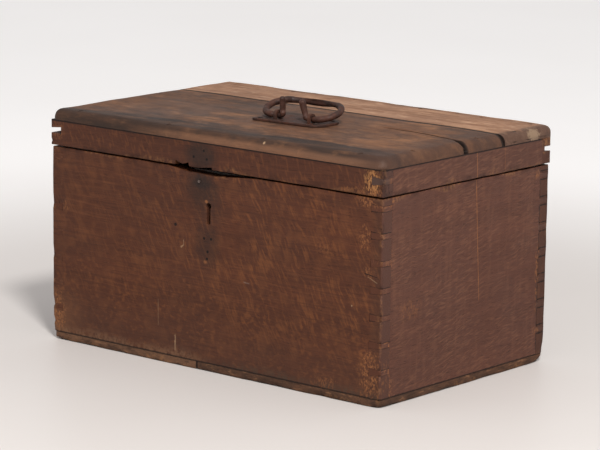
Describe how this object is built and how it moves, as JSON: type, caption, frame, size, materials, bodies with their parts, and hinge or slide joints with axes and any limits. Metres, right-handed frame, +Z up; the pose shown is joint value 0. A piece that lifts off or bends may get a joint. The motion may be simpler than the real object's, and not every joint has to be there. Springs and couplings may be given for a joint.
{
  "type": "wooden money box",
  "caption": "Dovetailed oak money box with a hinged tray lid, an inside iron lock and a forged bail handle on top.",
  "frame": {"origin": "centre of the base, on the floor", "axes": "+X along the box towards its right-hand end, +Y towards the hinged back, +Z up; the keyhole is on the -Y face"},
  "size_m": [0.452, 0.2886, 0.2793],
  "materials": {
    "oak_front": "dark reddish-brown worn oak, semi-matte",
    "oak_back": "dark brown oak, matte",
    "oak_left": "dark reddish-brown oak, semi-matte",
    "oak_right": "reddish-brown worn oak, semi-matte",
    "bottom_oak_pale": "pale worn oak, matte",
    "bottom_oak_dark": "dark worn oak, matte",
    "nail_iron": "dark rusted iron",
    "lock_iron": "dark iron, dull",
    "lock_case_iron": "dark iron, dull",
    "bolt_iron": "rubbed iron",
    "spring_steel": "dull spring steel",
    "broken_iron": "bright broken iron",
    "hinge_iron": "forged iron, rusty",
    "oak_lid_front": "dark reddish-brown oak, scuffed",
    "oak_lid_right": "reddish-brown oak, scuffed",
    "top_oak_dark": "dark brown mottled oak, worn, matte",
    "top_oak_tan": "tan bare oak, matte",
    "handle_iron": "forged iron, rusty brown",
    "bail_iron": "forged iron rod, dark rust"
  },
  "bodies": {
    "chest": {"front_board": "oak_front", "back_board": "oak_back", "left_board": "oak_left", "right_board": "oak_right", "bottom_board_left": "bottom_oak_pale", "bottom_board_right": "bottom_oak_dark", "bottom_nails": "nail_iron", "lock_plate": "lock_iron", "lock_case": "lock_case_iron", "lock_spring": "spring_steel", "lock_drum_pin": "bolt_iron", "lock_rivets": "nail_iron", "lock_nails": "nail_iron", "hasp_staple_stub": "broken_iron", "hinge_strap_left": "hinge_iron", "hinge_strap_right": "hinge_iron", "hinge_pin_left": "hinge_iron", "hinge_pin_right": "hinge_iron", "hinge_strap_nails": "nail_iron"},
    "lid": {"lid_front_rail": "oak_lid_front", "lid_back_rail": "oak_back", "lid_left_rail": "oak_left", "lid_right_rail": "oak_lid_right", "lid_front_top_board": "top_oak_dark", "lid_rear_top_board": "top_oak_tan", "lid_nails": "nail_iron", "hinge_leaf_left": "hinge_iron", "hinge_leaf_right": "hinge_iron", "hinge_leaf_nails": "nail_iron", "lid_catch": "lock_iron", "catch_nails": "nail_iron", "handle_plate": "handle_iron", "handle_staple_left": "handle_iron", "handle_staple_right": "handle_iron", "handle_nails": "nail_iron"},
    "lock_bolt": {"lock_bolt": "bolt_iron"},
    "handle": {"handle_bail": "bail_iron"}
  },
  "joints": [
    {"name": "lid_swing", "type": "hinge", "parent": "chest", "child": "lid", "pos_m": [0, 0.144, 0.2116], "axis": [-1, 0, 0], "range_deg": [0, 180]},
    {"name": "bolt_slide", "type": "slide", "parent": "chest", "child": "lock_bolt", "axis": [-1, 0, 0], "range_m": [0, 0.01]},
    {"name": "handle_fold", "type": "hinge", "parent": "lid", "child": "handle", "pos_m": [0.026, -0.04, 0.2585], "axis": [0.9976, 0.0698, 0], "range_deg": [-17, 85]}
  ]
}
